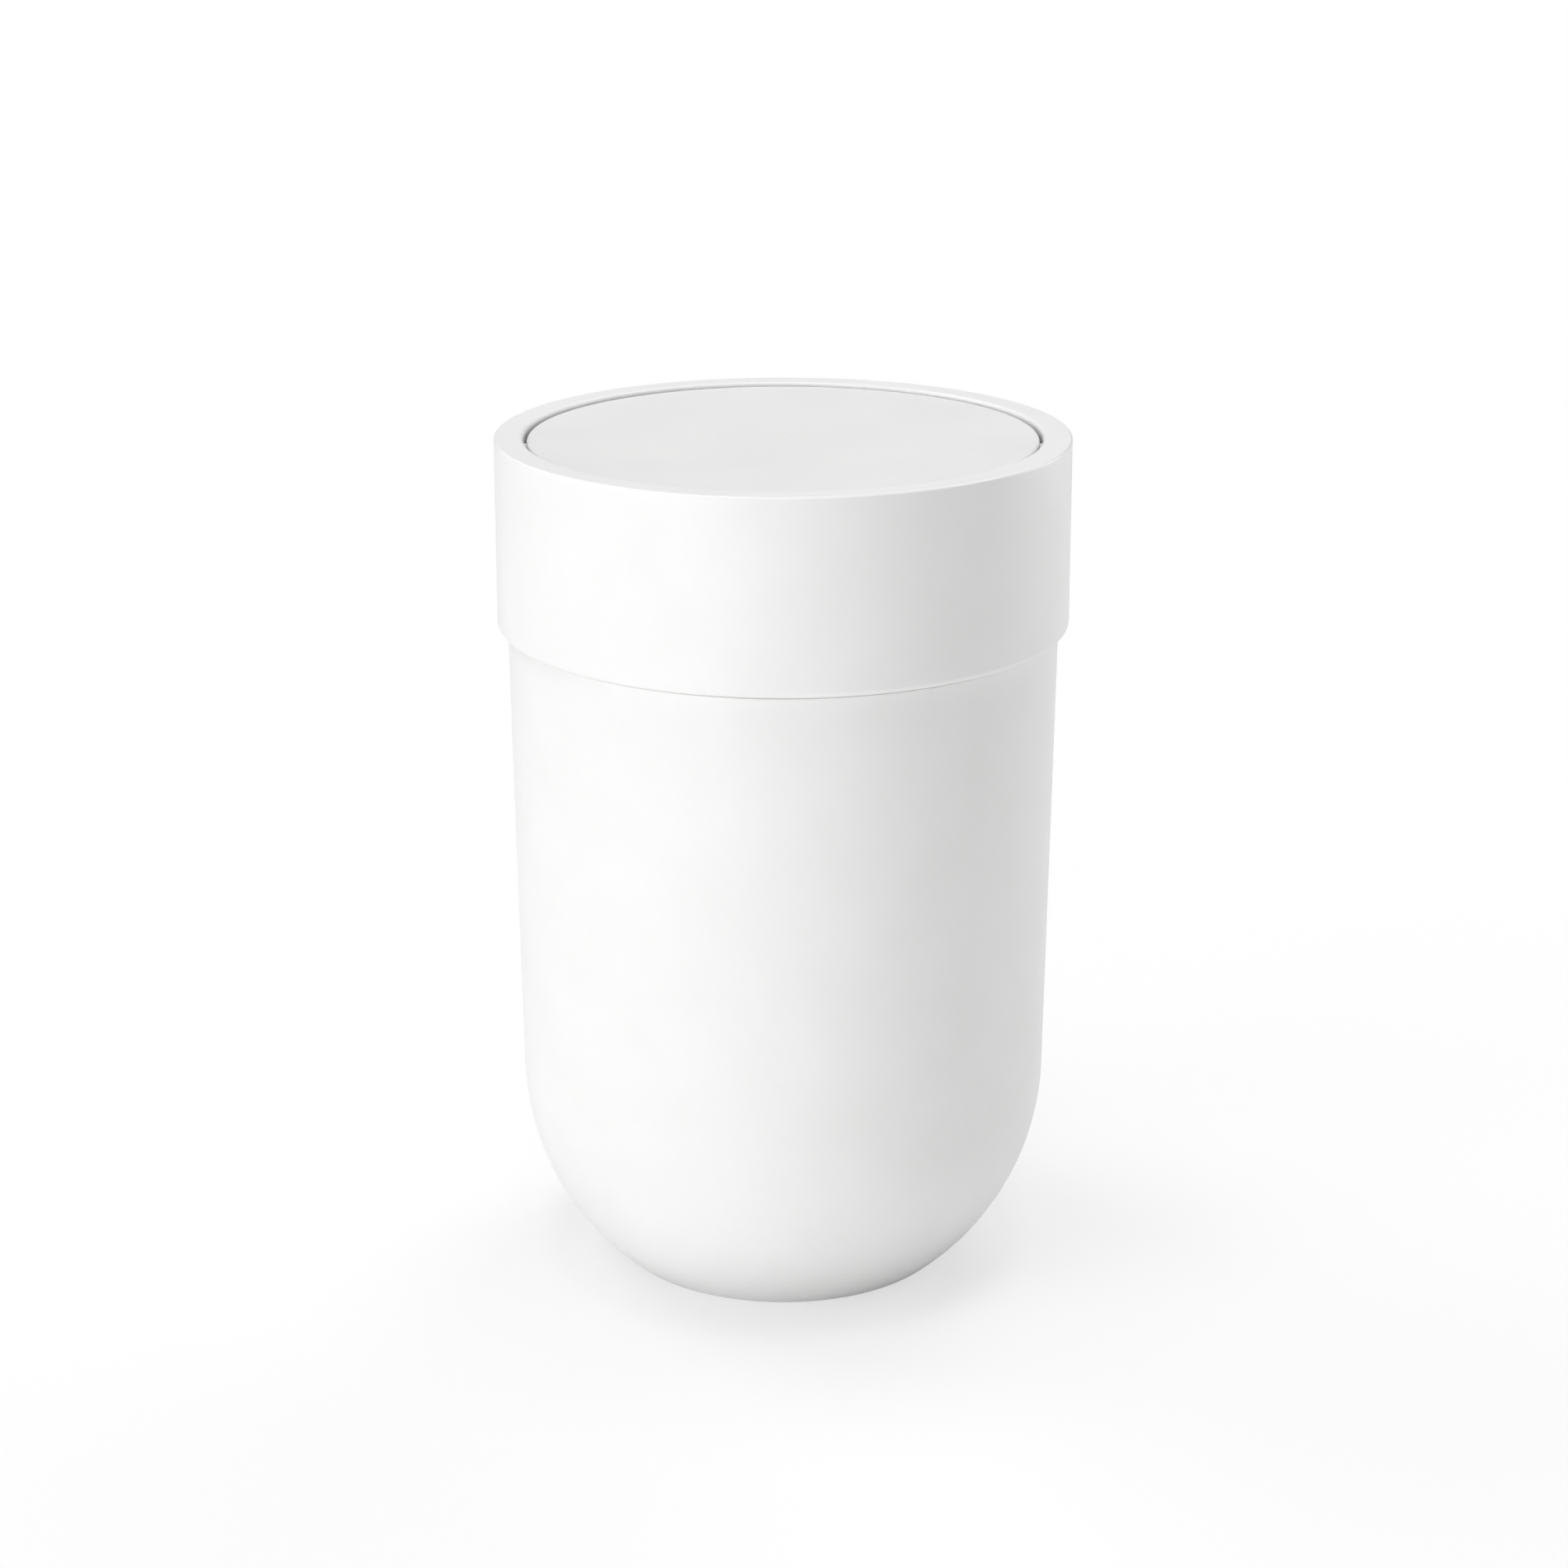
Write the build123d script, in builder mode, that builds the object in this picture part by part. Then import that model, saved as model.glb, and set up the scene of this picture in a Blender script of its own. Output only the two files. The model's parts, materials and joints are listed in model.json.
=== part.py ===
from build123d import *

import os
from math import cos, radians, sin, sqrt, tan

# Round wastebasket with a lift-off collar and a balanced swing flap.
# Millimetres and degrees. +Z is up and the origin is the centre of the base, on the floor.
# The flap swings about a line along X, so its front edge (-Y) and its back edge (+Y) tip.

# Whole bin
total_height = 278.5          # floor to the flat top of the collar
can_seam_radius = 89.0        # outside of the can just under the collar
can_taper = 0.728             # half angle of the can's wall, wider at the top
bowl_centre_height = 66.8     # centre of the round bottom above the floor

# Can
can_wall = 2.4
can_floor = 2.6               # thickness of the flat floor
foot_width = 7.0              # radial width of the ring that stands on the floor
foot_height = 1.5             # hollow under the floor, inside the foot ring
foot_fillet = 0.8
floor_fillet = 8.0            # inside, where the floor meets the round wall
neck_step = 0.7               # the neck inside the collar is this much smaller
rim_fillet = 0.6

# Collar, which lifts off the can
collar_height = 61.7          # top face down to the seam
seam_gap = 0.4                # shadow line between the can's shoulder and the collar
collar_overhang = 3.3         # collar outside over can outside at the seam
collar_draft = 0.3            # the collar is this much smaller at its top
collar_skirt = 2.6            # wall of the outer skirt
collar_wall = 2.2             # wall of the top face and of the throat
throat_clearance = 1.6        # throat wall inside the can's neck
throat_depth = 28.0
collar_lower_fillet = 2.25
collar_top_fillet = 0.9
throat_top_fillet = 1.3
throat_lower_fillet = 0.7
seat_depth = 16.0             # top face down to where the can's rim seats
seat_rib_count = 12
seat_rib_thickness = 1.6

# Swing flap
flap_gap = 1.2                # between the flap's edge and the throat
flap_recess = 1.1             # flap top below the collar's top face
flap_plate = 2.2
flap_edge_fillet = 0.9
flap_skirt_inset = 0.8
flap_skirt_wall = 1.8
flap_skirt_depth = 12.0       # below the underside of the plate
flap_rib_count = 12
flap_rib_height = 3.0
flap_rib_thickness = 1.4
flap_hub_radius = 14.0
flap_ring_radius = 58.0
gate_radius = 0.8             # mark left by the moulding gate, in the centre of the top
gate_depth = 0.15

# Pivots, one at each end of the swing axis
pin_radius = 2.0
pin_clearance = 0.05          # running fit in the bush
bush_wall = 0.95
bush_flange = 0.8
bush_flange_width = 0.9
lug_wall = 1.5                # plastic round the bush
lug_length = 5.0              # from the throat's face inwards
lug_post = 12.0               # below the swing axis
lug_clearance = 0.3           # round head of the lug to the plate over it
thrust_gap = 0.3              # bush flange to the flap's boss
boss_wall = 2.2
boss_length = 10.7
boss_web = 6.0                # width of the web that hangs the boss from the plate
boss_gusset = 26.0            # length of the cross gusset over both sides
pin_end_gap = 0.5
swing_limit = 80.0            # plate against the flank of the lug, with lug_clearance left

# Counterweight under the flap
bar_length = 120.0
bar_width = 25.0
bar_thickness = 4.0
bar_corner = 4.0
bar_chamfer = 0.4
bar_drop = 9.0                # top of the bar below the swing axis
screw_spacing = 90.0
screw_radius = 1.5
screw_depth = 10.0            # into the post
screw_head_radius = 3.3
screw_head_height = 2.3
screw_head_fillet = 1.2
screw_slot = 0.9
bar_hole_clearance = 0.3
post_wall = 2.8

# Worked out from the values above
merge = 0.3                   # ribs run this far into the walls they join
seam_z = total_height - collar_height
shoulder_z = seam_z - seam_gap
rim_z = total_height - seat_depth
taper = radians(can_taper)


def can_radius(height):
    """Outside radius of the can's tapering wall at a height, carried on up to the rim."""
    return can_seam_radius + (height - shoulder_z) * tan(taper)


bowl_radius = can_radius(bowl_centre_height) * cos(taper)
base_radius = sqrt(bowl_radius**2 - bowl_centre_height**2)
inner_bowl_radius = bowl_radius - can_wall
# Where the round bottom runs into the tapering wall, outside and inside
outer_low = (bowl_radius * cos(taper), bowl_centre_height - bowl_radius * sin(taper))
inner_low = (
    inner_bowl_radius * cos(taper),
    bowl_centre_height - inner_bowl_radius * sin(taper),
)
can_floor_z = foot_height + can_floor
floor_radius = sqrt(inner_bowl_radius**2 - (bowl_centre_height - can_floor_z) ** 2)
wall_run = can_wall / cos(taper)

collar_lower_radius = can_seam_radius + collar_overhang
collar_top_radius = collar_lower_radius - collar_draft
throat_outer_radius = can_seam_radius - can_wall - throat_clearance
throat_radius = throat_outer_radius - collar_wall
rib_inside = throat_outer_radius - merge
rib_outside = collar_top_radius - collar_skirt + merge
throat_z = total_height - throat_depth
top_underside_z = total_height - collar_wall

flap_radius = throat_radius - flap_gap
flap_top_z = total_height - flap_recess
flap_underside_z = flap_top_z - flap_plate
flap_skirt_radius = flap_radius - flap_skirt_inset
flap_rib = flap_skirt_radius - flap_skirt_wall + merge - flap_hub_radius

bush_bore = pin_radius + pin_clearance
bush_radius = bush_bore + bush_wall
lug_radius = bush_radius + lug_wall
axis_z = flap_underside_z - lug_radius - lug_clearance
# Each flank of the lug's post leaves its round head on the tangent at the swing limit
limit = radians(swing_limit)
flank_top = (lug_radius * sin(limit), lug_radius * cos(limit))
flank_low = ((lug_radius + lug_post * cos(limit)) / sin(limit), -lug_post)
lug_face_x = throat_radius - lug_length
bush_face_x = lug_face_x - bush_flange
bush_end_x = throat_outer_radius - pin_end_gap
boss_face_x = bush_face_x - thrust_gap
boss_back_x = boss_face_x - boss_length
boss_radius = pin_radius + boss_wall
pin_start_x = boss_back_x + pin_end_gap
pin_end_x = bush_end_x - pin_end_gap

# The skirt is left out where the lug posts stand, as the flap turns about them
skirt_opening = 2 * (lug_post + lug_radius)

bar_top_z = axis_z - bar_drop
bar_low_z = bar_top_z - bar_thickness
post_radius = screw_radius + post_wall
sides = {"right": 1, "left": -1}


def bore_line(side, x):
    """Plane across the swing axis at x on one side, facing outwards, with its y upwards."""
    return Plane((side * x, 0, axis_z), x_dir=(0, side, 0), z_dir=(side, 0, 0))


def rings(part, radius, height):
    """Circular edges about the vertical axis with this radius at this height."""
    return part.edges().filter_by(
        lambda edge: edge.geom_type == GeomType.CIRCLE
        and abs(edge.radius - radius) < 0.01
        and abs(edge.arc_center.Z - height) < 0.01
    )


# Can: a foot ring, a round bottom, a slightly tapering wall and a neck inside the collar
with BuildPart() as can_body:
    with BuildSketch(Plane.XZ):
        with BuildLine():
            Polyline(
                (0, can_floor_z),
                (0, foot_height),
                (base_radius - foot_width, foot_height),
                (base_radius - foot_width, 0),
                (base_radius, 0),
            )
            RadiusArc((base_radius, 0), outer_low, -bowl_radius)
            Polyline(
                outer_low,
                (can_radius(shoulder_z), shoulder_z),
                (can_radius(shoulder_z) - neck_step, shoulder_z),
                (can_radius(rim_z) - neck_step, rim_z),
                (can_radius(rim_z) - wall_run, rim_z),
                inner_low,
            )
            RadiusArc(inner_low, (floor_radius, can_floor_z), inner_bowl_radius)
            Line((floor_radius, can_floor_z), (0, can_floor_z))
        make_face()
    revolve(axis=Axis.Z)
    fillet(rings(can_body, base_radius, 0), foot_fillet)
    fillet(rings(can_body, base_radius - foot_width, 0), foot_fillet)
    fillet(rings(can_body, floor_radius, can_floor_z), floor_fillet)
    fillet(rings(can_body, can_radius(shoulder_z), shoulder_z), seam_gap)
    fillet(rings(can_body, can_radius(rim_z) - neck_step, rim_z), rim_fillet)
    fillet(rings(can_body, can_radius(rim_z) - wall_run, rim_z), rim_fillet)

# Collar: an upside-down channel whose outer skirt covers the can's neck
with BuildPart() as lid_frame:
    with BuildSketch(Plane.XZ):
        with BuildLine():
            Polyline(
                (collar_lower_radius, seam_z),
                (collar_top_radius, total_height),
                (throat_radius, total_height),
                (throat_radius, throat_z),
                (throat_outer_radius, throat_z),
                (throat_outer_radius, top_underside_z),
                (collar_top_radius - collar_skirt, top_underside_z),
                (collar_lower_radius - collar_skirt, seam_z),
                close=True,
            )
        make_face()
    revolve(axis=Axis.Z)
    fillet(
        rings(lid_frame, collar_lower_radius, seam_z),
        min(collar_lower_fillet, collar_skirt - merge),
    )
    fillet(rings(lid_frame, collar_top_radius, total_height), collar_top_fillet)
    fillet(rings(lid_frame, throat_radius, total_height), throat_top_fillet)
    fillet(rings(lid_frame, throat_radius, throat_z), throat_lower_fillet)
    fillet(rings(lid_frame, throat_outer_radius, throat_z), throat_lower_fillet)
    # Ribs across the channel, with lower edges that the can's rim seats against
    with BuildSketch(Plane.XY.offset(rim_z)):
        with PolarLocations(
            (rib_inside + rib_outside) / 2, seat_rib_count, start_angle=180 / seat_rib_count
        ):
            Rectangle(rib_outside - rib_inside, seat_rib_thickness)
    extrude(amount=top_underside_z + merge - rim_z)
    # Pivot lugs: a round head about the swing axis on a post whose flanks stop the plate
    for side in sides.values():
        with BuildSketch(bore_line(side, lug_face_x)):
            Circle(lug_radius)
            with BuildLine():
                Polyline(
                    flank_top,
                    flank_low,
                    (-flank_low[0], flank_low[1]),
                    (-flank_top[0], flank_top[1]),
                    close=True,
                )
            make_face()
        extrude(amount=lug_length + collar_wall / 2)
        with BuildSketch(bore_line(side, lug_face_x)):
            Circle(bush_radius)
        extrude(amount=lug_length + collar_wall + merge, mode=Mode.SUBTRACT)

# Bushes pressed into the lugs, each with a flange that the flap's boss runs against
bushes = {}
for name, side in sides.items():
    with BuildPart() as bush:
        with BuildSketch(bore_line(side, bush_face_x)):
            Circle(bush_radius + bush_flange_width)
            Circle(bush_bore, mode=Mode.SUBTRACT)
        extrude(amount=bush_flange)
        with BuildSketch(bore_line(side, lug_face_x)):
            Circle(bush_radius)
            Circle(bush_bore, mode=Mode.SUBTRACT)
        extrude(amount=bush_end_x - lug_face_x)
    bushes[name] = bush

# Pins pressed outwards through the flap's bosses into the bushes
pins = {}
for name, side in sides.items():
    with BuildPart() as pin:
        with BuildSketch(bore_line(side, pin_start_x)):
            Circle(pin_radius)
        extrude(amount=pin_end_x - pin_start_x)
        chamfer(pin.edges().filter_by(GeomType.CIRCLE), pin_end_gap)
    pins[name] = pin

# Flap: a flat disc with a skirt, ribs, two pin bosses and two posts for the counterweight
with BuildPart() as swing_flap:
    with BuildSketch(Plane.XY.offset(flap_underside_z)):
        Circle(flap_radius)
    extrude(amount=flap_plate)
    fillet(rings(swing_flap, flap_radius, flap_top_z), flap_edge_fillet)
    with BuildSketch(Plane.XY.offset(flap_underside_z)):
        Circle(flap_skirt_radius)
        Circle(flap_skirt_radius - flap_skirt_wall, mode=Mode.SUBTRACT)
        Rectangle(2 * flap_radius, skirt_opening, mode=Mode.SUBTRACT)
    extrude(amount=-flap_skirt_depth)
    with BuildSketch(Plane.XY.offset(flap_underside_z)):
        for ring_radius in (flap_hub_radius, flap_ring_radius):
            Circle(ring_radius + flap_rib_thickness / 2)
            Circle(ring_radius - flap_rib_thickness / 2, mode=Mode.SUBTRACT)
        with PolarLocations(
            flap_hub_radius + flap_rib / 2, flap_rib_count, start_angle=180 / flap_rib_count
        ):
            Rectangle(flap_rib, flap_rib_thickness)
    extrude(amount=-flap_rib_height)
    for side in sides.values():
        with BuildSketch(bore_line(side, boss_back_x)):
            Circle(boss_radius)
            with Locations((0, (flap_underside_z + merge - axis_z) / 2)):
                Rectangle(boss_web, flap_underside_z + merge - axis_z)
        extrude(amount=boss_length)
    with BuildSketch(Plane.XY.offset(axis_z)):
        with Locations(*[(side * (boss_back_x + boss_length / 2), 0) for side in sides.values()]):
            Rectangle(flap_rib_thickness, boss_gusset)
    extrude(amount=flap_underside_z + merge - axis_z)
    with BuildSketch(Plane.XY.offset(bar_top_z)):
        with GridLocations(screw_spacing, 1, 2, 1):
            Circle(post_radius)
    extrude(amount=flap_underside_z + merge - bar_top_z)
    with BuildSketch(Plane.XY.offset(bar_top_z)):
        with GridLocations(screw_spacing, 1, 2, 1):
            Circle(screw_radius)
    extrude(amount=screw_depth, mode=Mode.SUBTRACT)
    for side in sides.values():
        with BuildSketch(bore_line(side, boss_back_x)):
            Circle(pin_radius)
        extrude(amount=boss_length, mode=Mode.SUBTRACT)
    with BuildSketch(Plane.XY.offset(flap_top_z)):
        Circle(gate_radius)
    extrude(amount=-gate_depth, mode=Mode.SUBTRACT)

# Counterweight: a flat steel bar along the swing axis, below it
with BuildPart() as counterweight_bar:
    with BuildSketch(Plane.XY.offset(bar_low_z)):
        RectangleRounded(bar_length, bar_width, bar_corner)
        with GridLocations(screw_spacing, 1, 2, 1):
            Circle(screw_radius + bar_hole_clearance, mode=Mode.SUBTRACT)
    extrude(amount=bar_thickness)
    bar_faces = counterweight_bar.faces().filter_by(Axis.Z)
    chamfer([wire for face in bar_faces for wire in face.outer_wire().edges()], bar_chamfer)

# Two self-tapping screws, driven up through the bar into the posts
with BuildPart() as counterweight_screws:
    with BuildSketch(Plane.XY.offset(bar_low_z)):
        with GridLocations(screw_spacing, 1, 2, 1):
            Circle(screw_radius)
    extrude(amount=bar_thickness + screw_depth)
    with BuildSketch(Plane.XY.offset(bar_low_z)):
        with GridLocations(screw_spacing, 1, 2, 1):
            Circle(screw_head_radius)
    extrude(amount=-screw_head_height)
    head_edges = counterweight_screws.edges().filter_by(GeomType.CIRCLE).group_by(Axis.Z)[0]
    fillet(head_edges, screw_head_fillet)
    with BuildSketch(Plane.XY.offset(bar_low_z - screw_head_height)):
        with GridLocations(screw_spacing, 1, 2, 1):
            Rectangle(screw_head_radius, screw_slot)
            Rectangle(screw_slot, screw_head_radius)
    extrude(amount=screw_head_height / 2, mode=Mode.SUBTRACT)

pieces = {
    "can_body": can_body,
    "lid_frame": lid_frame,
    "pivot_bush_left": bushes["left"],
    "pivot_bush_right": bushes["right"],
    "swing_flap": swing_flap,
    "pivot_pin_left": pins["left"],
    "pivot_pin_right": pins["right"],
    "counterweight_bar": counterweight_bar,
    "counterweight_screws": counterweight_screws,
}

os.makedirs("parts", exist_ok=True)
for name, piece in pieces.items():
    piece.part.label = name
    export_step(piece.part, f"parts/{name}.step")
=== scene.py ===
# Round wastebasket with a lift-off collar and a flat swing flap, in a plain white studio.
# Metres, +Z up, the base stands on z = 0 and the flap swings about a line along X.
import json
import math

import bmesh
import bpy
import numpy as np
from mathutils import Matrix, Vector


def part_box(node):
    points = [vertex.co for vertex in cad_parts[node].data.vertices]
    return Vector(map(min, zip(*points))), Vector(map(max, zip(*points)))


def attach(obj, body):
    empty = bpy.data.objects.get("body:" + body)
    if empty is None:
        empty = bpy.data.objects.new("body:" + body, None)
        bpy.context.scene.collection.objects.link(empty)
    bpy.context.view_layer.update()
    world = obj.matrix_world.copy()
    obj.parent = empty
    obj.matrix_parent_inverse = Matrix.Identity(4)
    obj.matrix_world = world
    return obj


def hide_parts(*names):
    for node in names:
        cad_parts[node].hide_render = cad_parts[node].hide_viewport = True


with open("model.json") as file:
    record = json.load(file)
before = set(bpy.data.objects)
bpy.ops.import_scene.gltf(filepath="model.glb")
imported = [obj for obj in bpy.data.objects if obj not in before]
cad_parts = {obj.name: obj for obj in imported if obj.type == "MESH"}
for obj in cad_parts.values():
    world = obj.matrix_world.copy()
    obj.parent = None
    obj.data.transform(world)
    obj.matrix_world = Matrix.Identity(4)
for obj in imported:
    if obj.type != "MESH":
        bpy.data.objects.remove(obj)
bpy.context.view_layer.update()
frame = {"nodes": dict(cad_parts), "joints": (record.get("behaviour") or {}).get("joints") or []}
nodes = frame["nodes"]
swing = next(joint for joint in frame["joints"] if joint["name"] == "flap_swing")
swingHeight = swing["pos_m"][2]
swingLimit = math.radians(swing["range_deg"][1])
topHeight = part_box("lid_frame")[1].z       # flat top of the collar
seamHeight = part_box("lid_frame")[0].z      # lower edge of the collar
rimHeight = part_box("can_body")[1].z        # rim of the can, inside the collar
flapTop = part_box("swing_flap")[1].z        # flat top of the flap
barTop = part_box("counterweight_bar")[1].z  # the flap's posts stand on the bar
mm = 0.001
samePoint = 0.001 * mm                     # points nearer than this are merged
sharpAngle = math.radians(32)              # edges bent by more than this stay sharp
print("frame loaded, top at", round(topHeight / mm, 1), "mm")


def arc(centre, radius, startAngle, endAngle, steps):
    # Rows of (across, up, no fillet) on a circle: centre + radius * (cos, sin) of an even
    # run of angles in degrees.
    angles = np.radians(np.linspace(startAngle, endAngle, steps + 1))
    return np.c_[centre[0] + radius * np.cos(angles), centre[1] + radius * np.sin(angles), 0 * angles]


def rounded(corners, steps=8, closed=False):
    # Rows of (across, up, fillet radius) become an outline. A fillet touches both of its
    # runs: its centre lies radius / sin(half the corner's angle) in along the bisector,
    # its ends radius / tan(half) along the runs, and its points turn evenly between them.
    corners = np.asarray(corners, float)
    here, size = corners[:, :2], corners[:, 2].copy()
    if not closed:
        size[[0, -1]] = 0
    toBefore, toAfter = np.roll(here, 1, axis=0) - here, np.roll(here, -1, axis=0) - here
    toBefore /= np.linalg.norm(toBefore, axis=1)[:, None]
    toAfter /= np.linalg.norm(toAfter, axis=1)[:, None]
    half = np.arccos(np.clip((toBefore * toAfter).sum(axis=1), -1, 1)) / 2
    bisector = toBefore + toAfter
    bisector /= np.maximum(np.linalg.norm(bisector, axis=1), 1e-9)[:, None]
    centre = here + bisector * (size / np.maximum(np.sin(half), 1e-9))[:, None]
    reach = (size / np.tan(np.clip(half, 1e-6, np.pi / 2)))[:, None]
    first, last = here + toBefore * reach - centre, here + toAfter * reach - centre
    turn = np.maximum(np.pi - 2 * half, 1e-6)[:, None]
    share = np.linspace(0, 1, steps + 1)[None, :]
    weights = np.sin((1 - share) * turn) / np.sin(turn), np.sin(share * turn) / np.sin(turn)
    points = centre[:, None] + weights[0][..., None] * first[:, None] + weights[1][..., None] * last[:, None]
    plain = size == 0
    points[plain] = here[plain][:, None]
    return points[~plain[:, None] | (np.arange(steps + 1) == 0)]


def evenRuns(outline, longest, closed=False):
    # Extra points on long runs, evenly spaced and at most `longest` apart.
    ends = np.roll(outline, -1, axis=0) if closed else outline[1:]
    starts = outline if closed else outline[:-1]
    count = np.maximum(np.ceil(np.linalg.norm(ends - starts, axis=1) / longest), 1).astype(int)
    run = np.repeat(np.arange(len(count)), count)
    share = ((np.arange(count.sum()) - np.repeat(np.cumsum(count) - count, count)) / count[run])[:, None]
    points = starts[run] * (1 - share) + ends[run] * share
    return points if closed else np.vstack([points, outline[-1:]])


def gridFaces(rows, columns, closedRows, closedColumns):
    # Four-sided faces between neighbouring points of a grid of rows x columns.
    row = np.arange(rows if closedRows else rows - 1)[:, None]
    column = np.arange(columns if closedColumns else columns - 1)[None, :]
    nextRow, nextColumn = (row + 1) % rows, (column + 1) % columns
    faces = np.stack(np.broadcast_arrays(
        row * columns + column, row * columns + nextColumn,
        nextRow * columns + nextColumn, nextRow * columns + column), axis=-1)
    return faces.reshape(-1, 4)


def turned(outline, segments, closed=False, about=(0, 0)):
    # An outline of (radius, height) carried round a vertical axis:
    # x = radius * cos(turn), y = radius * sin(turn), z = height. An open outline starts and
    # ends on the axis, where two fans of triangles close its poles.
    turn = np.arange(segments) * 2 * np.pi / segments
    rings = outline if closed else outline[1:-1]
    points = np.stack([
        rings[:, :1] * np.cos(turn) + about[0], rings[:, :1] * np.sin(turn) + about[1],
        rings[:, 1:2] + 0 * turn], axis=-1).reshape(-1, 3)
    quads = gridFaces(len(rings), segments, closed, True)
    if closed:
        return points, quads
    poles = np.array([[*about, outline[0, 1]], [*about, outline[-1, 1]]])
    column, lastRing = np.arange(segments), (len(rings) - 1) * segments
    startFan = np.c_[np.full(segments, len(points)), (column + 1) % segments, column]
    endFan = np.c_[np.full(segments, len(points) + 1), lastRing + column, lastRing + (column + 1) % segments]
    return np.vstack([points, poles]), quads, startFan, endFan


def ontoSwingAxis(points, side):
    # Turns a shape made about the vertical onto the swing axis: (x, y, z) -> (side * z, y, x),
    # with x measured up from the axis.
    return np.c_[side * points[:, 2], points[:, 1], swingHeight + points[:, 0]]


def skirtArc(section, opening, facing, steps):
    # A closed section of (radius, height) carried round the front or the back of a circle,
    # with both ends cut at y = opening / 2: the point of radius r starts at the angle
    # asin(opening / 2 / r), and its angle goes evenly to half a turn less that.
    start = np.arcsin(opening / 2 / section[:, 0])
    share = np.linspace(0, 1, steps + 1)[:, None]
    turn = start + share * (np.pi - 2 * start)
    points = np.stack([
        section[:, 0] * np.cos(turn), facing * section[:, 0] * np.sin(turn),
        section[:, 1] + 0 * turn], axis=-1).reshape(-1, 3)
    ends = [np.arange(len(section))[None], steps * len(section) + np.arange(len(section))[None]]
    return points, gridFaces(steps + 1, len(section), False, True), *ends


def blocks(low, high, turns=(0,)):
    # A closed block between two corners, and a copy at each turn about the vertical:
    # (x, y) -> (x * cos - y * sin, x * sin + y * cos).
    pick = np.array([[x, y, z] for z in (0, 1) for y in (0, 1) for x in (0, 1)])
    corner = np.where(pick, high, low)[None]
    turn = np.radians(np.asarray(turns, float))[:, None]
    points = np.stack([
        corner[..., 0] * np.cos(turn) - corner[..., 1] * np.sin(turn),
        corner[..., 0] * np.sin(turn) + corner[..., 1] * np.cos(turn),
        corner[..., 2] + 0 * turn], axis=-1)
    sides = np.array([[0, 2, 3, 1], [4, 5, 7, 6], [0, 1, 5, 4], [2, 6, 7, 3], [0, 4, 6, 2], [1, 3, 7, 5]])
    return points.reshape(-1, 3), (sides[None] + 8 * np.arange(len(points))[:, None, None]).reshape(-1, 4)


def tidied(mesh):
    # Merges doubles and points every face outwards.
    sides = bmesh.new()
    sides.from_mesh(mesh)
    bmesh.ops.remove_doubles(sides, verts=sides.verts, dist=samePoint)
    bmesh.ops.dissolve_degenerate(sides, edges=sides.edges, dist=samePoint)
    bmesh.ops.recalc_face_normals(sides, faces=sides.faces)
    sides.to_mesh(mesh)
    sides.free()


def solid(name, points, *faces, softened=0.0):
    # A closed mesh object from points and rows of corner numbers. A softened one has its
    # edges rounded by a bevel that wide.
    mesh = bpy.data.meshes.new(name)
    mesh.from_pydata(points.tolist(), [], [row for part in faces for row in part.tolist()])
    tidied(mesh)
    made = bpy.data.objects.new(name, mesh)
    bpy.context.scene.collection.objects.link(made)
    if softened:
        edges = made.modifiers.new("softEdges", "BEVEL")
        edges.width, edges.segments, edges.limit_method = softened, 3, "ANGLE"
        edges.angle_limit = sharpAngle
    return made


def joined(base, others, operation):
    # The base with other solids added to it ("UNION") or cut out of it ("DIFFERENCE"): the
    # outside of all of them together, or of the base less the others.
    group = bpy.data.collections.new("joining")
    for other in others:
        group.objects.link(other)
    step = base.modifiers.new("join", "BOOLEAN")
    step.operation, step.solver, step.operand_type, step.collection = operation, "EXACT", "COLLECTION", group
    bpy.context.view_layer.update()
    mesh = bpy.data.meshes.new_from_object(base.evaluated_get(bpy.context.evaluated_depsgraph_get()))
    base.modifiers.clear()
    base.data = mesh
    tidied(mesh)
    for other in others:
        bpy.data.objects.remove(other)
    bpy.data.collections.remove(group)
    return base


def finished(piece, finish, body, node):
    # Smooth fillets with flat faces between them, a finish, and a place in the assembly.
    mesh = piece.data
    mesh.name = piece.name
    mesh.materials.clear()
    mesh.materials.append(finish)
    mesh.shade_smooth()
    mesh.set_sharp_from_angle(angle=sharpAngle)
    flats = piece.modifiers.new("flatFaces", "WEIGHTED_NORMAL")
    flats.mode, flats.weight, flats.keep_sharp = "FACE_AREA", 50, True
    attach(piece, body)
    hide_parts(node)
    triangles = sum(len(face.vertices) - 2 for face in mesh.polygons)
    print(piece.name, "made,", triangles, "triangles")


def added(tree, kind, **inputs):
    # A shader node with its unlinked inputs set; an underscore in a name is a space.
    made = tree.nodes.new(kind)
    for name, value in inputs.items():
        made.inputs[name.replace("_", " ")].default_value = value
    return made


def maths(tree, operation, first, second=0.0, clamp=False):
    # One Math node, whose two inputs are numbers or sockets.
    made = tree.nodes.new("ShaderNodeMath")
    made.operation, made.use_clamp = operation, clamp
    for place, value in enumerate((first, second)):
        if isinstance(value, (int, float)):
            made.inputs[place].default_value = value
        else:
            tree.links.new(value, made.inputs[place])
    return made.outputs[0]


def spread(tree, value, low, high, newLow, newHigh):
    # Carries low..high to newLow..newHigh in a straight line, held at its two ends.
    made = added(tree, "ShaderNodeMapRange", From_Min=low, From_Max=high, To_Min=newLow, To_Max=newHigh)
    tree.links.new(value, made.inputs["Value"])
    return made.outputs["Result"]


def noise(tree, vector, size, detail=3.0, roughness=0.5):
    # Noise whose blobs are about `size` across.
    made = added(tree, "ShaderNodeTexNoise", Scale=1 / size, Detail=detail, Roughness=roughness)
    tree.links.new(vector, made.inputs["Vector"])
    return made.outputs["Fac"]


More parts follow.
